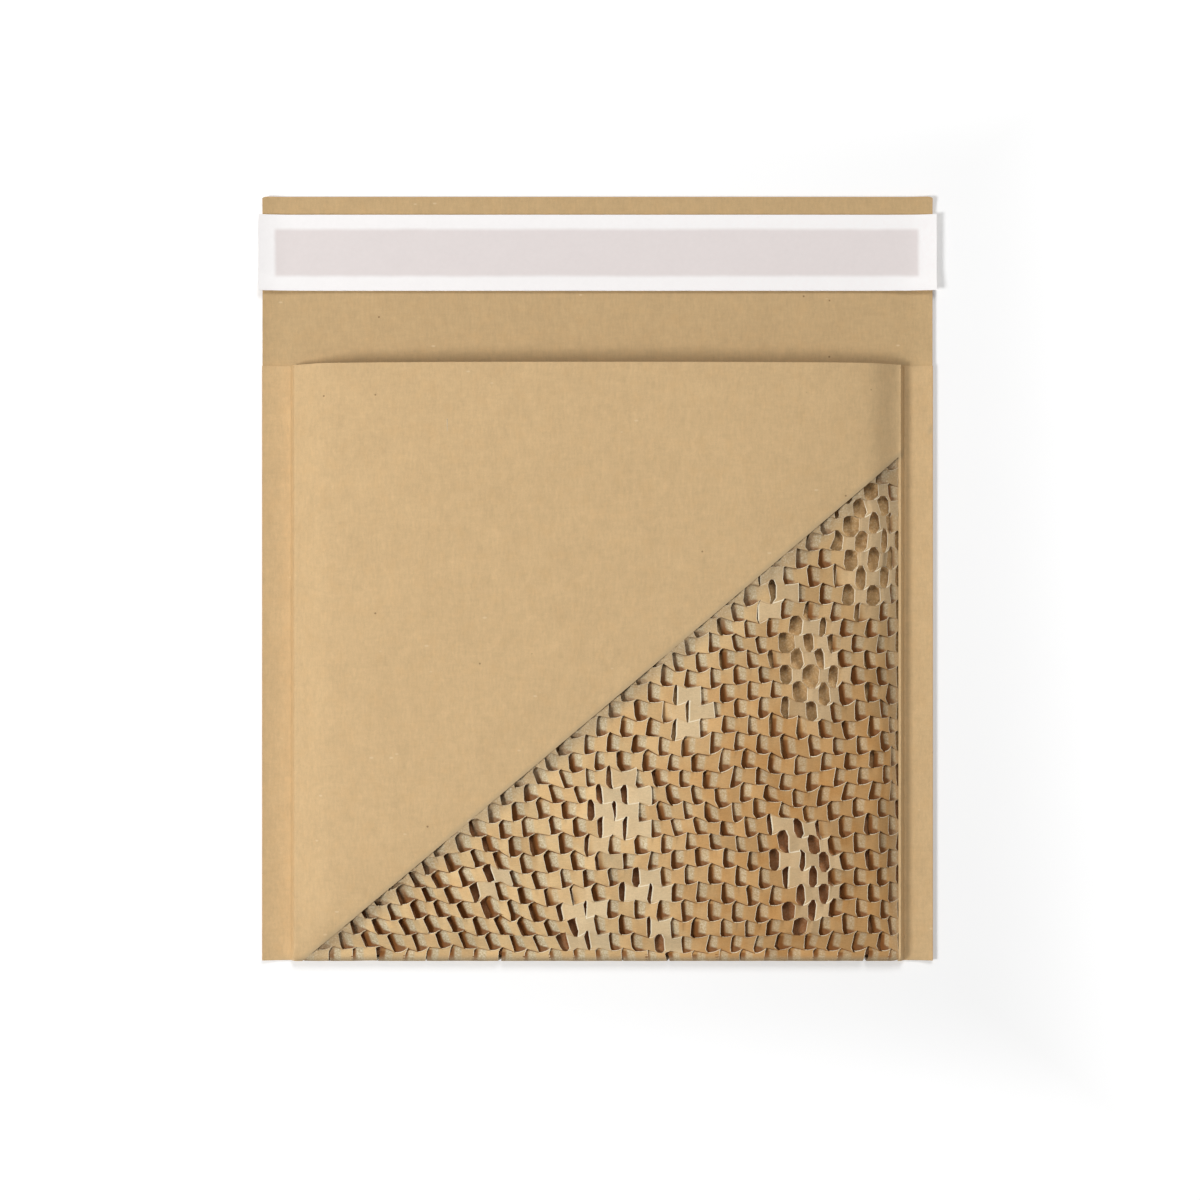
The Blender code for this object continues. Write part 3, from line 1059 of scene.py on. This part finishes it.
@dataclass(frozen=True)
class Marks:
    """What the paper's finish reads at a corner: cream edge paint, partly painted highlight;
    painted shade; a slope painted pale as lit.
    """

    edge: float = 0.0
    painted_shade: float = 0.0
    slope: float = 0.0


class Turn(NamedTuple):
    """A rung where a strip steps from one tab to the next, with its finish marks: edge paint that
    is partly painted highlight on the crest, and painted shade at the foot.

    offset is its share along the step, from the step's slanting middle line, and swing its share
    across. upper says whether it has the upper tab's height.
    """

    offset: float
    swing: float
    upper: bool
    edge: float
    painted_shade: float


@dataclass
class Tab:
    """One tab, where two neighbouring strips of the honeycomb stay joined.

    x and s are its middle across and along the folded sheet. standing is 0 where it leans over and
    1 where it doesn't. lean, flare and tilt slant its fold, widen it upwards and turn its steps.
    """

    x: float
    s: float
    form: TabForm
    tone: float
    standing: float
    lean: float
    flare: float
    tilt: float
    detail: Detail


@dataclass
class HoneycombLining:
    """The slit paper that pads both walls: strips that swing from tab to tab, pulled open."""

    walls: Walls
    # The pattern, and how far beyond the window it is divided finely
    column: float = 0.00363
    squeezed: tuple[float, ...] = (0.0028, 0.0025)
    row: float = 0.00493
    straight: float = 0.0036
    first_row: float = 0.00394
    front_start: float = 0.6
    margin: float = 0.0045
    thickness: float = 0.00012
    # How the tabs stand: narrower at the right border, and deeper towards the lower left
    spread: Spread = Spread()
    highest: float = 1.04
    border: float = 0.0060
    border_width: float = 0.74
    deeper: float = 0.14
    narrower: float = 0.20
    deep_right: float = 0.02
    deep_top: float = 0.07
    deep_blur: float = 0.05
    lean: float = 0.32
    twist: float = 0.22
    foot: float = 0.2
    # The steps between tabs, in shares of the way from one straight part to the next
    overhang: float = 0.05
    step_half: float = 0.07
    step_open: float = 0.22
    step_slant: float = 0.72
    lip: float = 0.16
    sag: float = 0.22
    # How the paper lies in the walls: below the kraft, flush at the cut, and drawn up at the fold
    top_depth: float = 0.00046
    overlap: float = 0.0001
    flush_reach: float = 0.0013
    flush_height: float = 1.03
    fold_flush: float = 0.0008
    fold_depth: float = 0.00006
    fold_reach: float = 0.0012
    fold_turn: float = 0.72
    fold_blur: float = 0.15
    window_blur: float = 0.0008
    # A slow waviness of the rows and columns
    sway_across: float = 0.00045
    sway_along: float = 0.00050
    calm: float = 0.006
    seed: int = 5
    open_patches: tuple[Patch, ...] = (
        Patch(0.0085, 0.1250, 0.0090, 0.0210),
        Patch(0.0245, 0.0870, 0.0095, 0.0170),
        Patch(0.0250, 0.0270, 0.0085, 0.0180),
    )
    closed_patches: tuple[Patch, ...] = (
        Patch(0.0365, 0.1106, 0.0028, 0.0080),
        Patch(0.0620, 0.0748, 0.0048, 0.0105),
        Patch(0.0795, 0.0470, 0.0045, 0.0100),
        Patch(0.0963, 0.0210, 0.0030, 0.0040),
    )
    slot_patches: tuple[Patch, ...] = (
        Patch(0.0855, 0.0434, 0.0040, 0.0130),
        Patch(0.0916, 0.0105, 0.0055, 0.0110),
        Patch(0.0733, 0.0240, 0.0065, 0.0060),
        Patch(0.0688, 0.0060, 0.0045, 0.0080),
        Patch(0.1180, 0.0230, 0.0040, 0.0050),
        Patch(0.0330, 0.0330, 0.0040, 0.0110),
    )
    piece: Piece | None = field(default=None, init=False)

    def __post_init__(self) -> None:
        """Prepares the random draw and the lists that become the mesh."""
        self.draw = np.random.default_rng(self.seed)
        self.corners: list[tuple[float, ...]] = []
        self.faces: list[tuple[int, ...]] = []
        self.joined: dict[tuple[int, int, int], int] = {}
        self.tabs: dict[tuple[int, int], Tab] = {}

    def centres(self) -> Array:
        """Where the slits' lines stand, from the left edge to the right."""
        places = [self.walls.pad_x]
        for width in self.squeezed:
            places.append(places[-1] - width)
        while places[-1] - self.column > -self.walls.pad_x - 0.0001:
            places.append(places[-1] - self.column)
        return np.array(places[::-1])

    def rows(self) -> range:
        """The rows, from the back wall's mouth round the fold to the front wall's mouth."""
        length = self.walls.y_mouth - self.walls.setback - self.walls.y_bottom
        length -= self.walls.fold_full / 2
        half = self.straight / 2
        last = math.floor((length - half - self.first_row) / self.row)
        first = math.ceil((-length - self.walls.arc + half - self.first_row) / self.row)
        return range(first, last + 1)

    def make_tab(self, column: int, row: int, x: float) -> Tab:
        """Draws one tab.

        Args:
            column, row: Its place in the pattern. column is not used.
            x: Its middle.
        Returns:
            The tab.
        """
        walls, spread = self.walls, self.spread
        s = self.first_row + row * self.row
        y = walls.y_bottom + walls.fold_full / 2 + s
        up = y - walls.y_bottom
        left, right, low, middle, high, tone, across, along, lean, flare, tilt = (
            self.draw.normal(0, 1, 11)
        )
        front = float(s > self.front_start * self.row)
        standing, closed, slotted = (
            front * max(patch.holds(walls.window_right - x, up) for patch in patches)
            for patches in (self.open_patches, self.closed_patches, self.slot_patches)
        )
        deeper = ramp((self.deep_right - x) / self.deep_blur)
        deeper = front * float(deeper * ramp((self.deep_top - up) / self.deep_blur))
        form = LEANING.mixed(STANDING, standing).mixed(CLOSED, closed).mixed(SLOTTED, slotted)
        form = TabForm(
            form.left_width + (spread.left_width + spread.left_standing * standing) * left,
            form.right_width * (1 - self.narrower * deeper * (1 - closed))
            + (spread.right_width + spread.right_standing * standing) * right,
            max(form.low + spread.low * low - self.deeper * deeper * (1 - slotted), 0.0),
            form.middle + spread.middle * middle,
            min(form.high + spread.high * high, self.highest),
        )
        if x > walls.pad_x - self.border:
            form = replace(form, left_width=form.left_width * self.border_width,
                           right_width=form.right_width * self.border_width)
        seen = s > -0.9 * walls.arc and x < walls.pad_x + 0.001
        fine = seen and walls.from_slant(x, y) < self.margin
        return Tab(
            x + spread.across * across, s + spread.along * along, form,
            tone=float(np.clip(0.5 + spread.tone * tone, 0, 1)),
            standing=max(standing, closed, slotted),
            lean=spread.lean * lean + self.lean * deeper,
            flare=spread.flare * flare,
            tilt=spread.tilt * tilt,
            detail=Detail.FINE if fine else Detail.PLAIN,
        )

    def strip_place(self, tab: Tab, right: bool, t: float, v: float) -> Corner:
        """A place on a strip beside a tab's middle.

        Args:
            tab: The tab.
            right: Whether the strip is the tab's right half.
            t: Share across the strip, from its left edge to its right.
            v: Share along the tab's straight part, from -0.5 to 0.5.
        Returns:
            The place across, the path length and the height in the pad.
        """
        form = tab.form
        s = tab.s + v * self.straight
        x = tab.x - tab.lean * v * self.straight
        if right:
            height = form.middle + (form.high - form.middle) * math.sin(math.pi / 2 * t)
            return x + form.right_width * t * (1 + tab.flare * v), s, height
        rise = t * t * (3 - 2 * t)
        low = form.low + self.twist * v * (1 - tab.standing)
        return x - form.left_width * (1 - t), s, low + (form.middle - low) * rise

    @staticmethod
    def slope(tab: Tab, right: bool, t: float) -> float:
        """How much of a slope towards the light a place has, which the finish paints pale as lit.
        """
        return 0.0 if right else SLOPE.get(t, 0.0) * (1 - tab.standing)

    def corner(self, place: Corner, marks: Marks, tab: Tab) -> int:
        """Adds a corner and gives its number."""
        self.corners.append((*place, *astuple(marks), tab.tone, tab.standing))
        return len(self.corners) - 1

    def straight_steps(self, tab: Tab) -> tuple[float, ...]:
        """Where a tab's straight part has rungs. It needs more round the bottom fold."""
        if -self.walls.arc - self.row < tab.s < self.row:
            return (0.0, 0.2, 0.4, 0.6, 0.8, 1.0)
        return (0.0, self.foot, 1.0) if tab.detail is Detail.FINE else (0.0, 1.0)

    @staticmethod
    def painted_shade(tab: Tab, t: float, share: float) -> float:
        """How dark the painted shade is at a place on a tab's left half.

        Args:
            tab: The tab.
            t: Share across, from the opening to the tab's middle.
            share: Share along the straight part. It is darkest at the lower end.
        Returns:
            The darkness.
        """
        foot, flank = FOOT.get(t, 0.0), FLANK.get(t, 0.0)
        if share == 0.0:
            dark = foot
        elif share < 0.3:
            dark = 0.5 * foot * (1 - t) + 0.6 * flank
        else:
            dark = flank
        return dark * (1 - tab.standing)

    def tab_rung(self, key: tuple[int, int], right: bool, share: float,
                 stations: Sequence[float]) -> Rung:
        """The corners across a strip at one place of a tab's straight part.

        Args:
            key: The tab's place in the pattern.
            right: Whether the strip is the tab's right half.
            share: Where along the straight part, from 0 at its lower end to 1.
            stations: Shares across the strip.
        Returns:
            Share and corner number for each.
        """
        tab = self.tabs[key]
        v = share - 0.5
        rung = []
        for t in stations:
            place = self.strip_place(tab, right, t, v)
            slope = self.slope(tab, right, t)
            if t == (0.0 if right else 1.0):
                joint = (*key, round(share * 100))
                if joint not in self.joined:
                    self.joined[joint] = self.corner(place, Marks(), tab)
                rung.append((t, self.joined[joint]))
            else:
                # Cream edge paint on free edges, partly painted highlight; painted shade on the
                # left half.
                edge = 1.0 if right and t == 1.0 else 0.0
                if not right and t == 0.0:
                    edge = tab.standing
                painted_shade = 0.0 if right else self.painted_shade(tab, t, share)
                rung.append((t, self.corner(place, Marks(edge, painted_shade, slope), tab)))
        return rung

    def turns(self, down: bool, standing: float) -> tuple[Turn, Turn, Turn]:
        """The three rungs of a strip's step: they fall steeply between the last two.

        Args:
            down: Whether the strip steps down, from a tab's right half to one's left half.
            standing: How far the two tabs stand upright.
        Returns:
            The rungs, upwards.
        """
        half = self.step_half + (self.step_open - self.step_half) * standing
        if down:
            hang = self.overhang * (1 - standing)
            return (Turn(-half - self.lip + hang, 0.30, False, 0.0, 0.0),
                    Turn(-half * standing + hang, 0.42, False, 0.9, 0.0),
                    Turn(half * standing, 0.58, True, 0.0, 1.0 - standing))
        return (Turn(-half - self.lip, 0.30, False, 0.0, 0.0),
                Turn(-half, 0.42, False, 0.0, 1.0 - standing),
                Turn(half, 0.62, True, 0.35, 0.0))

    def turn_rungs(self, first: Tab, down: bool, second: Tab) -> list[Rung]:
        """The corners across a strip where it steps from one tab to the next.

        Args:
            first, second: The two tabs, upwards.
            down: Whether the strip is the first tab's right half, so that it steps down.
        Returns:
            The rungs between the two tabs.
        """
        if Detail.PLAIN in (first.detail, second.detail):
            return []
        standing = (first.standing + second.standing) / 2
        rungs = []
        for turn in self.turns(down, standing):
            rung = []
            for t in STATIONS[Detail.FINE]:
                slant = self.step_slant if down else -self.step_slant
                line = 0.5 + (slant + first.tilt) * (t - 0.5)
                if down:
                    line -= self.sag * 4 * t * (1 - t) * (1 - standing)
                share = min(max(line + turn.offset, 0.02), 0.98)
                start = self.strip_place(first, down, t, 0.5)
                end = self.strip_place(second, not down, t, -0.5)
                near, right = (second, not down) if turn.upper else (first, down)
                place = (
                    start[0] + (end[0] - start[0]) * turn.swing,
                    start[1] + (end[1] - start[1]) * share,
                    end[2] if turn.upper else start[2],
                )
                # Cream edge paint on free edges and the crest: partly the paler cut paper, partly
                # painted highlight.
                rim = 1.0 if right and t == 1.0 else turn.edge
                if standing > 0.3 and t in (0.0, 1.0):
                    rim = max(rim, standing)
                if not down:
                    rim *= 0.3 + 0.7 * (1.0 - t)
                marks = Marks(rim, turn.painted_shade, self.slope(near, right, t))
                rung.append((t, self.corner(place, marks, near)))
            rungs.append(rung)
        return rungs

    def join(self, low: Rung, high: Rung) -> None:
        """Fills the band between two rungs, whose stations may differ."""
        a = b = 0
        while a < len(low) - 1 or b < len(high) - 1:
            next_low = low[a + 1][0] if a < len(low) - 1 else 9.0
            next_high = high[b + 1][0] if b < len(high) - 1 else 9.0
            if abs(next_low - next_high) < 1e-6:
                self.faces.append((low[a][1], low[a + 1][1], high[b + 1][1], high[b][1]))
                a, b = a + 1, b + 1
            elif next_low < next_high:
                self.faces.append((low[a][1], low[a + 1][1], high[b][1]))
                a += 1
            else:
                self.faces.append((low[a][1], high[b + 1][1], high[b][1]))
                b += 1

    def lay_strip(self, index: int, rows: range) -> None:
        """Lays one strip from the back wall's mouth to the front wall's mouth."""
        previous = None
        for row in rows:
            right = (index + row) % 2 == 1
            key = (index if right else index + 1, row)
            tab = self.tabs[key]
            stations = STATIONS[tab.detail]
            steps = self.straight_steps(tab)
            rungs = [self.tab_rung(key, right, share, stations) for share in steps]
            if previous is not None:
                last_tab, last_right, last_rung = previous
                rungs = [last_rung, *self.turn_rungs(last_tab, last_right, tab), *rungs]
            for low, high in zip(rungs, rungs[1:]):
                self.join(low, high)
            previous = (tab, right, rungs[-1])

    def settle(self, table: Array) -> Array:
        """Moves the pattern's corners to their places in the walls.

        Args:
            table: One corner in each row: across, path length, height in the pad.
        Returns:
            One point in each row.
        """
        walls = self.walls
        x, s, height = table[:, 0], table[:, 1], table[:, 2]
        calm = ramp((walls.pad_x - np.abs(x)) / self.calm)
        x = x + self.sway_across * Ripple(21, 0.02, 0.06)(x, s) * calm
        s = s + self.sway_along * Ripple(22, 0.018, 0.05)(x, s)
        inside = np.clip(x, -walls.pad_x, walls.pad_x)
        y = walls.bend_y(x) + walls.level(s)
        near = np.abs(walls.from_slant(x, y))
        turn = np.clip(-s / walls.arc, 0, 1)
        before_back = s > -walls.arc
        flush = np.maximum(ramp(1 - near / self.flush_reach), ramp(1 - s / self.fold_flush))
        height = height + (self.flush_height - height) * np.where(before_back, flush, 0)
        span = walls.pad_depth + walls.pad_thickness(inside, y) + self.overlap - self.top_depth
        depth = self.top_depth + (1 - height) * span
        blur = self.window_blur
        window = ramp((x - walls.window_left + blur) / (2 * blur))
        window = window * ramp((walls.window_right - x) / (2 * blur))
        outer = ramp((self.fold_turn - turn) / self.fold_blur) * before_back
        outer = ramp(1 - s / self.fold_reach) * outer
        depth = depth - (self.top_depth - self.fold_depth) * window * outer
        return walls.along(inside, s, depth)

    def build(self) -> None:
        """Models the whole lining."""
        centres = self.centres()
        rows = self.rows()
        for row in rows:
            for column, x in enumerate(centres):
                if (column + row) % 2 == 1:
                    self.tabs[column, row] = self.make_tab(column, row, float(x))
        for index in range(len(centres) - 1):
            self.lay_strip(index, rows)
        table = np.array(self.corners)
        mesh = bpy.data.meshes.new("honeycomb_lining_paper")
        mesh.from_pydata(self.settle(table).tolist(), [], self.faces)
        columns = ("lift", "edge", "painted_shade", "slope", "tone", "standing")
        for column, name in enumerate(columns, start=2):
            layer = mesh.attributes.new(name, "FLOAT", "POINT")
            layer.data.foreach_set("value", table[:, column].astype(np.float32))
        self.piece = bpy.data.objects.new("honeycomb_paper", mesh)
        bpy.context.scene.collection.objects.link(self.piece)
        face_up(self.piece, self.walls.front_level)
        thicken(self.piece, self.thickness, even=False)
        smooth(self.piece, 55)

    def dress(self) -> None:
        """Gives the lining its material and its place in the frame."""
        dress(self.piece, [CombFinish(self.walls).make()])
        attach(self.piece, BODY)
        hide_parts("honeycomb_lining")


@dataclass
class InnerLiner:
    """The plain sheet that closes the pocket, glued to the honeycomb's inner face."""

    walls: Walls
    thickness: float = 0.00020
    columns: int = 61
    wall_rows: int = 56
    bend_steps: int = 10
    wave_height: float = 0.00010
    calm: float = 0.012
    piece: Piece | None = field(default=None, init=False)

    def build(self) -> None:
        """Models the folded sheet."""
        walls = self.walls
        across = np.linspace(-walls.pad_x, walls.pad_x, self.columns)
        length = walls.y_mouth - walls.setback - walls.y_bottom - walls.fold_full / 2
        wall = np.linspace(length, 0, self.wall_rows)
        path = np.concatenate([
            -walls.arc - wall,
            -walls.arc * np.linspace(1, 0, self.bend_steps + 1)[1:-1],
            wall[::-1],
        ])
        x, s = np.meshgrid(across, path)
        y = walls.bend_y(x) + walls.level(s)
        depth = walls.pad_depth + walls.pad_thickness(x, y) + walls.clearance
        points = walls.along(x, s, depth)
        lively = ramp(walls.level(s) / self.calm) * ramp((walls.pad_x - np.abs(x)) / self.calm)
        points[..., 2] += self.wave_height * Ripple(31, 0.012, 0.04)(x, s) * lively
        self.piece = shaped_sheet("inner_liner_sheet", points, walls.front_level)
        thicken(self.piece, self.thickness)
        smooth(self.piece, 60)

    def dress(self) -> None:
        """Gives the liner its material and its place in the frame."""
        dress(self.piece, [LinerFinish().make()])
        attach(self.piece, BODY)
        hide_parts("inner_liner")


@dataclass
class Closure:
    """The adhesive strip on the flap, and the release liner over it."""

    walls: Walls
    corner_lift: float = 0.00055
    lift_across: float = 0.022
    lift_along: float = 0.006
    adhesive: Piece | None = field(default=None, init=False)
    release: Piece | None = field(default=None, init=False)

    def strip(self, name: str, node: str, thickness: float, columns: int, rows: int,
              wave: float, lift: float = 0.0) -> Piece:
        """A thin strip where the CAD has it, following the flap's curl.

        Args:
            name: Name of the piece.
            node: The CAD node whose place it takes.
            thickness: Its thickness.
            columns, rows: Its divisions.
            wave: Height of its waviness.
            lift: How far its two lower corners stand off.
        Returns:
            The strip.
        """
        low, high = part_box(node)
        x, y = np.meshgrid(np.linspace(low.x, high.x, columns), np.linspace(low.y, high.y, rows))
        z = high.z + self.walls.curl(x, y) + wave * Ripple(41, 0.03, 0.10)(x, y)
        across = ramp(1 - (high.x - np.abs(x)) / self.lift_across)
        z = z + lift * across * ramp(1 - (y - low.y) / self.lift_along)
        piece = shaped_sheet(name, np.stack([x, y, z], axis=-1), low.z - 1)
        thicken(piece, thickness)
        smooth(piece, 40)
        return piece

    def build(self) -> None:
        """Models both strips."""
        self.adhesive = self.strip("adhesive_band", "adhesive_strip", 0.0002, 80, 8, 0.00002)
        self.release = self.strip("release_strip", "release_liner", 0.00013, 120, 24, 0.00004,
                                  self.corner_lift)

    def dress(self) -> None:
        """Gives both strips their materials and their places in the frame."""
        low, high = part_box("release_liner")
        dress(self.adhesive, [AdhesiveFinish().make()])
        dress(self.release, [ReleaseFinish((low.y + high.y) / 2).make()])
        for piece, node, slot in (
            (self.adhesive, "adhesive_strip", "adhesive"),
            (self.release, "release_liner", "release_paper"),
        ):
            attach(piece, BODY)
            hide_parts(node)


@dataclass
class Studio:
    """Table, lamps, world and camera."""

    table_size: float = 6.0
    table_gap: float = 0.0001
    camera_x: float = 0.00075
    camera_y: float = -0.0064
    camera_height: float = 0.70
    field_width: float = 0.3588
    sensor: float = 36.0
    world: float = 0.22
    key_power: float = 7.6
    key_size: float = 0.30
    key_distance: float = 1.15
    key_elevation: float = 50.0
    key_azimuth: float = 197.0
    top_power: float = 5.6
    top_size: float = 0.5
    top_place: Corner = (0.12, 0.75, 1.0)

    def build(self) -> None:
        """Sets the table, the light and the camera."""
        self.add_table()
        self.add_world()
        angle, rise = math.radians(self.key_azimuth), math.radians(self.key_elevation)
        place = (
            self.key_distance * math.cos(rise) * math.cos(angle),
            self.key_distance * math.cos(rise) * math.sin(angle),
            self.key_distance * math.sin(rise),
        )
        self.add_lamp("key_lamp", place, self.key_size, self.key_power)
        self.add_lamp("top_lamp", self.top_place, self.top_size, self.top_power)
        self.add_camera()
        bpy.context.scene.view_settings.view_transform = "Standard"

    def add_table(self) -> None:
        """Lays the table."""
        deselect()
        bpy.ops.mesh.primitive_plane_add(size=self.table_size, location=(0, 0, 0))
        table = bpy.context.object
        table.name = "table"
        for vertex in table.data.vertices:
            vertex.co.z -= self.table_gap
        dress(table, [FloorFinish().make()])

    def add_world(self) -> None:
        """Lights the room softly. The camera sees it white."""
        sheet = NodeSheet("soft_room", bpy.data.worlds)
        bpy.context.scene.world = sheet.owner
        seen = sheet.node("ShaderNodeLightPath").outputs["Is Camera Ray"]
        shades = [
            sheet.node("ShaderNodeBackground", None, {"Color": (1.0, 1.0, 1.0), "Strength": power})
            for power in (self.world, 1.0)
        ]
        mix = sheet.node("ShaderNodeMixShader", None, {
            0: seen, 1: shades[0].outputs[0], 2: shades[1].outputs[0],
        })
        sheet.node("ShaderNodeOutputWorld", None, {"Surface": mix.outputs[0]})

    @staticmethod
    def add_lamp(name: str, place: Corner, size: float, power: float) -> None:
        """Hangs a square soft lamp that looks at the object.

        Args:
            name: Name of the lamp.
            place: Where it hangs.
            size: Its side.
            power: Its power in watts.
        """
        data = bpy.data.lights.new(name, "AREA")
        data.shape = "SQUARE"
        data.size = size
        data.energy = power
        lamp = bpy.data.objects.new(name, data)
        bpy.context.scene.collection.objects.link(lamp)
        lamp.location = place
        lamp.rotation_euler = Vector(place).to_track_quat("Z", "Y").to_euler()

    def add_camera(self) -> None:
        """Puts the camera straight above, as in the photograph."""
        data = bpy.data.cameras.new("camera")
        data.sensor_width = self.sensor
        data.lens = self.sensor * self.camera_height / self.field_width
        camera = bpy.data.objects.new("camera", data)
        bpy.context.scene.collection.objects.link(camera)
        camera.location = (self.camera_x, self.camera_y, self.camera_height)
        bpy.context.scene.camera = camera


def report(name: str, piece: Piece) -> None:
    """Logs a finished piece and its size."""
    triangles = sum(len(face.vertices) - 2 for face in piece.data.polygons)
    LOG.info("%s: %s, %d triangles", name, piece.name, triangles)


def main() -> None:
    """Builds and dresses the envelope, piece by piece, and sets the studio."""
    logging.basicConfig(level=logging.INFO, format="%(message)s")
    low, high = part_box("outer_sheet")
    walls = Walls(high.x, low.y, high.y)
    sheet = OuterSheet(walls)
    comb = HoneycombLining(walls)
    liner = InnerLiner(walls)
    closure = Closure(walls)
    for part in (sheet, comb, liner, closure):
        part.build()
        part.dress()
    report("Outer sheet", sheet.piece)
    report("Honeycomb", comb.piece)
    report("Inner liner", liner.piece)
    report("Adhesive", closure.adhesive)
    report("Release liner", closure.release)
    Studio().build()


if __name__ == "__main__":
    main()
